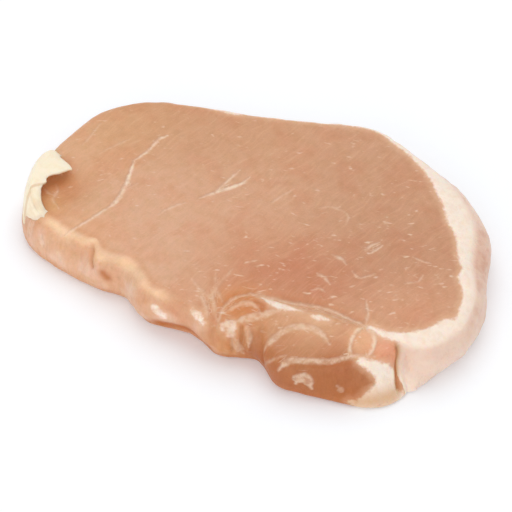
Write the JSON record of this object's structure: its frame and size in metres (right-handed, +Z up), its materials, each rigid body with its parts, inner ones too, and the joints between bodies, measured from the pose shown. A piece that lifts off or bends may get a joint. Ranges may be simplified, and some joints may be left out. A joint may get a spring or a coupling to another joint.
{
  "type": "raw boneless pork loin slice",
  "caption": "Raw boneless pork loin slice lying on its cut face: a flat oval with a fat rim at one end, fat folded over the other and a small muscle lobe in front.",
  "frame": {"origin": "centre of the bounding box, on the flat underside that the slice lies on", "axes": "+X along the slice from the end with the folded fat to the fat-rimmed end, +Y to the plain rear edge, +Z up through the thickness"},
  "size_m": [0.149, 0.099, 0.0173],
  "materials": {
    "raw_pork": "moist raw pork cut across the grain, pale beige pink with fine pale marbling",
    "pork_fat": "firm raw pork fat, cream white and slightly waxy"
  },
  "bodies": {
    "root": {"pork_loin_slice": "raw_pork"}
  },
  "joints": []
}
